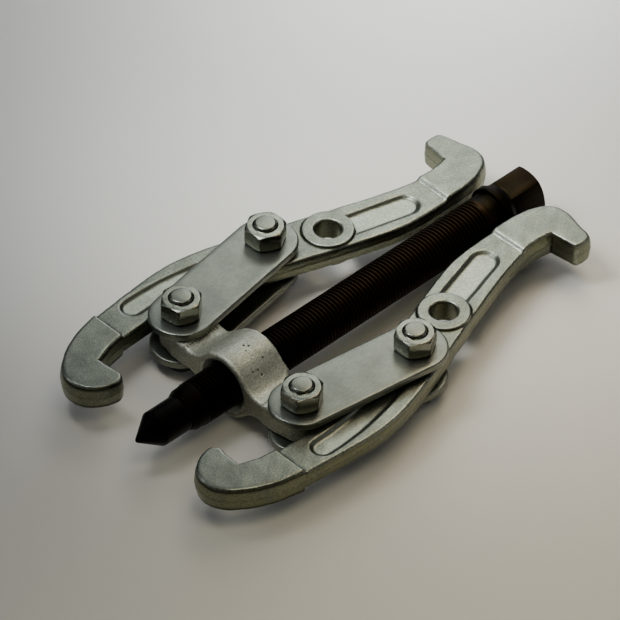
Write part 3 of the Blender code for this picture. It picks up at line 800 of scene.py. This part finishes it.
def black_oxide(name, base, wear_and_sheen, rough, crest=None):
    """Blackened steel, brown cast; brown rubbed edges (partly painted highlight) and crests; painted shade
    at the screw's point and collar.
    """
    material, tree, shader, place = new_material(name)
    blotch = remap(tree, noise(tree, place, 6.0, 4.0, 0.6), 0.35, 0.68)
    colour = blend_colour(tree, blotch, base, times(base, 0.6))
    scuffs = remap(tree, noise(tree, place, 1.2, 3.0, 0.6), 0.58, 0.74)
    colour = blend_colour(tree, maths(tree, "MULTIPLY", scuffs, 0.25), colour, wear_and_sheen)
    colour = blend_colour(tree, maths(tree, "MULTIPLY", painted(tree, "wear_and_sheen"), 0.25), colour, wear_and_sheen)
    if crest:
        parts = add_node(tree, "ShaderNodeSeparateXYZ", {"Vector": place}).outputs
        # Painted shade: darker towards the pointed end, and on a band over the collar.
        painted_shade = remap(tree, parts["X"], SHADE_TO_X * MM, 0.0, 0.0, 0.9)
        past_thread = remap(tree, parts["X"], (THREAD_END_X + 1.5) * MM, (THREAD_END_X + 4.0) * MM)
        before_drive = remap(tree, parts["X"], (COLLAR_X + 3.8) * MM, (COLLAR_X + 3.1) * MM, 0.0, 0.8)
        painted_shade = maths(tree, "MAXIMUM", painted_shade, maths(tree, "MULTIPLY", past_thread, before_drive))
        colour = blend_colour(tree, painted_shade, colour, times(base, 0.2))
        out = maths(tree, "SQRT", maths(tree, "ADD", maths(tree, "MULTIPLY", parts["Y"], parts["Y"]),
                                        maths(tree, "MULTIPLY", parts["Z"], parts["Z"])))
        threaded = remap(tree, parts["X"], (THREAD_END_X - 0.5) * MM, (THREAD_END_X + 0.5) * MM, 0.6, 0.0)
        on_crest = remap(tree, out, (crest - 0.35) * MM, crest * MM)
        # Brown rubbed thread crests, faded out where the shade is painted.
        unshaded = maths(tree, "SUBTRACT", 1.0, painted_shade)
        rubbed = maths(tree, "MULTIPLY", on_crest, maths(tree, "MULTIPLY", threaded, unshaded))
        colour = blend_colour(tree, rubbed, colour, wear_and_sheen)
    tree.links.new(colour, shader.inputs["Base Color"])
    fine = noise(tree, place, 0.35, 3.0, 0.6)
    tree.links.new(maths(tree, "ADD", rough - 0.05, maths(tree, "MULTIPLY", fine, 0.16)),
                   shader.inputs["Roughness"])
    shader.inputs["Metallic"].default_value = 1.0
    tree.links.new(bump(tree, fine, 0.02), shader.inputs["Normal"])
    return material


# Side colours are darker and more olive than top colours: painted shade and floor reflection on the sides.
JAW_ZINC = zinc("forged_zinc", top=(0.195, 0.214, 0.191), side=(0.180, 0.184, 0.116),
                stain=(0.134, 0.148, 0.132), rough=0.31, grain_mm=0.45, grain_deep=0.030, metallic=0.95,
                mottle=0.85, shade_and_grime_amount=1.0, pale_floors_and_highlight=True)
LINK_ZINC = zinc("plate_zinc", top=(0.172, 0.188, 0.175), side=(0.160, 0.164, 0.122),
                 stain=(0.145, 0.158, 0.148), rough=0.33, grain_mm=0.35, grain_deep=0.008, metallic=0.98,
                 mottle=0.3, wear_and_sheen_amount=0.4, shade_and_grime_amount=0.5, stretch=(0.35, 1.0, 1.0))
CAST_ZINC = zinc("cast_zinc", top=(0.42, 0.44, 0.395), side=(0.25, 0.25, 0.19),
                 stain=(0.25, 0.26, 0.225), rough=0.45, grain_mm=0.8, grain_deep=0.085, metallic=0.66,
                 mottle=1.0, wear_and_sheen_amount=0.6, shade_and_grime_amount=0.9)
BOLT_ZINC = zinc("bolt_zinc", top=(0.170, 0.182, 0.165), side=(0.18, 0.18, 0.14),
                 stain=(0.14, 0.145, 0.12), rough=0.28, grain_mm=0.3, grain_deep=0.006, metallic=1.0,
                 mottle=0.2, wear_and_sheen_amount=0.3, shade_and_grime_amount=0.0)
NUT_ZINC = zinc("nut_zinc", top=(0.165, 0.177, 0.160), side=(0.18, 0.18, 0.14),
                stain=(0.135, 0.14, 0.115), rough=0.27, grain_mm=0.3, grain_deep=0.006, metallic=1.0,
                mottle=0.25, wear_and_sheen_amount=0.3, shade_and_grime_amount=0.0)
SCREW_BLACK = black_oxide("screw_oxide", base=(0.0125, 0.0102, 0.0056), wear_and_sheen=(0.030, 0.0140, 0.0058),
                          rough=0.42, crest=SCREW_R)
POINT_BLACK = black_oxide("point_oxide", base=(0.0026, 0.0025, 0.0024), wear_and_sheen=(0.006, 0.0055, 0.005),
                          rough=0.38)


# --- pieces, each riding on its body in place of its CAD node ---------------------------------------
def put(name, mesh, material, body, node, place):
    """A piece whose object only moves to its place: its turn is in its own copy of the mesh."""
    mesh = mesh.copy()
    mesh.name = name
    mesh.transform(place.to_3x3().to_4x4())
    mesh.materials.append(material)
    obj = bpy.data.objects.new(name, mesh)
    bpy.context.scene.collection.objects.link(obj)
    obj.location = place.to_translation()
    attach(obj, body)
    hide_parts(node)


def at(point, turn=0.0, flip=False):
    """Place at a world point, turned about Z by degrees, and turned over about its own x if asked."""
    spin = Matrix.Rotation(math.radians(turn), 4, "Z")
    over = Matrix.Rotation(math.pi if flip else 0.0, 4, "X")
    return Matrix.Translation(point) @ spin @ over


put("yoke_casting", yoke_mesh(), CAST_ZINC, "yoke", "yoke", at(ORIGIN))
put("screw_turned", screw_mesh(), SCREW_BLACK, "forcing_screw", "forcing_screw",
    at(ORIGIN) @ LAY_ALONG_X)
put("point_turned", point_mesh(), POINT_BLACK, "pressure_point", "pressure_point",
    at(ORIGIN) @ LAY_ALONG_X)
BOLT, NUT, LINK, JAW = bolt_mesh(), nut_mesh(), link_mesh(), jaw_mesh()
for side, sign in SIDES.items():
    links, jaw = f"{side}_links", f"{side}_jaw"
    yoke_pin, jaw_pin = PIN[f"{side}_link_swing"], PIN[f"{side}_jaw_swing"]
    lift = Vector((0.0, 0.0, (LINK_INNER + LINK_THICK / 2) * MM))
    for level, up in (("upper", 1), ("lower", -1)):
        put(f"plate_{side}_{level}", LINK, LINK_ZINC, links, f"link_{side}_{level}",
            at(yoke_pin + up * lift, sign * LINK_ANGLE[side], flip=up < 0))
    put(f"forging_{side}", JAW, JAW_ZINC, jaw, f"jaw_{side}",
        at(jaw_pin, sign * JAW_ANGLE[side], flip=sign < 0))
    for where, pin, body in (("yoke", yoke_pin, "yoke"), ("jaw", jaw_pin, links)):
        turn = NUT_TURN[(where, side)]
        place = at(pin, turn)
        put(f"{where}_stud_{side}", BOLT, BOLT_ZINC, body, f"{where}_bolt_{side}", place)
        put(f"{where}_hexnut_{side}", NUT, NUT_ZINC, body, f"{where}_nut_{side}", place)


# --- floor, light and camera ------------------------------------------------------------------------
def floor_material():
    material, tree, shader, place = new_material("pale_floor")
    soft = noise(tree, place, 400.0, 2.0, 0.5)
    colour = blend_colour(tree, soft, (0.80, 0.79, 0.775), (0.84, 0.83, 0.82))
    tree.links.new(colour, shader.inputs["Base Color"])
    shader.inputs["Roughness"].default_value = 0.75
    tree.links.new(bump(tree, noise(tree, place, 1.0, 2.0, 0.5), 0.01), shader.inputs["Normal"])
    return material


FLOOR_HALF = 4.0


def make_floor():
    corners = [(x * FLOOR_HALF, y * FLOOR_HALF, 0) for x, y in ((-1, -1), (1, -1), (1, 1), (-1, 1))]
    mesh = bpy.data.meshes.new("floor")
    mesh.from_pydata(corners, [], [(0, 1, 2, 3)])
    mesh.materials.append(floor_material())
    floor = bpy.data.objects.new("floor", mesh)
    bpy.context.scene.collection.objects.link(floor)


def aim(obj, position, target):
    """Put a lamp or camera somewhere, looking at a target."""
    direction = Vector(target) - Vector(position)
    obj.location = position
    obj.rotation_euler = direction.to_track_quat("-Z", "Y").to_euler()


# name, position and aim in metres, size in metres, spread in degrees, watts of red, green and blue
STUDIO = (
    ("top", (0.10, 0.10, 0.50), (0.10, 0.10), 0.26, 60, (0.022, 0.026, 0.034)),
    ("low_back", (0.20, 0.20, 0.27), (0.20, 0.20), 0.20, 120, (0.206, 0.212, 0.180)),
    ("back_floor", (0.23, 0.17, 0.42), (0.22, 0.16), 0.12, 40, (0.150, 0.152, 0.155)),
    ("front_left", (-0.10, -0.20, 0.36), (-0.15, -0.25), 0.22, 100, (0.225, 0.207, 0.143)),
    ("far_back", (0.21, 0.45, 0.50), (0.0, 0.0), 0.36, 180, (0.150, 0.164, 0.164)),
    ("left", (-0.52, 0.02, 0.30), (0.0, 0.0), 0.34, 100, (0.028, 0.029, 0.030)),
    ("rear_left", (-0.44, 0.44, 0.34), (0.0, 0.0), 0.40, 100, (0.150, 0.153, 0.156)),
    ("front", (0.38, -0.46, 0.30), (0.0, 0.0), 0.40, 100, (0.070, 0.070, 0.068)),
    ("near_right", (0.15, 0.0, 0.30), (0.05, -0.08), 0.14, 60, (0.042, 0.033, 0.020)),
    ("over_left", (-0.05, 0.10, 0.26), (0.07, 0.04), 0.14, 60, (0.100, 0.100, 0.092)),
    ("right", (0.30, 0.10, 0.36), (0.25, 0.05), 0.22, 100, (0.115, 0.113, 0.096)),
    ("back_right", (0.60, 0.50, 0.30), (0.35, 0.30), 0.30, 90, (0.230, 0.232, 0.260)),
    ("far_hooks", (0.28, 0.25, 0.30), (0.08, 0.035), 0.14, 50, (0.012, 0.012, 0.010)),
)


def area_light(name, position, target, size, spread, colour):
    """Soft square panel above the floor."""
    data = bpy.data.lights.new(name, "AREA")
    data.shape = "SQUARE"
    data.size = size
    data.spread = math.radians(spread)
    data.energy = max(colour)
    data.color = [c / max(colour) for c in colour]
    light = bpy.data.objects.new(name, data)
    bpy.context.scene.collection.objects.link(light)
    aim(light, position, (*target, 0.0))


CAMERA_AZIMUTH = -43.361
CAMERA_ELEVATION = 42.818
CAMERA_DISTANCE = 1.814249
CAMERA_TARGET = ORIGIN + Vector((37.918, 6.895, 0.0)) * MM
CAMERA_LENS = 312.66

world = bpy.data.worlds.new("studio")
world.use_nodes = True
sky = world.node_tree.nodes["Background"]
sky.inputs["Color"].default_value = (0.80, 0.82, 0.84, 1.0)
sky.inputs["Strength"].default_value = 0.04
bpy.context.scene.world = world
make_floor()
for panel in STUDIO:
    area_light(*panel)

camera_data = bpy.data.cameras.new("camera")
camera_data.lens = CAMERA_LENS
camera_data.sensor_width = 36.0
camera_data.clip_end = 20.0
camera = bpy.data.objects.new("camera", camera_data)
bpy.context.scene.collection.objects.link(camera)
azimuth = math.radians(CAMERA_AZIMUTH)
elevation = math.radians(CAMERA_ELEVATION)
back = Vector((math.sin(azimuth) * math.cos(elevation), -math.cos(azimuth) * math.cos(elevation),
               math.sin(elevation)))
aim(camera, CAMERA_TARGET + back * CAMERA_DISTANCE, CAMERA_TARGET)
bpy.context.scene.camera = camera
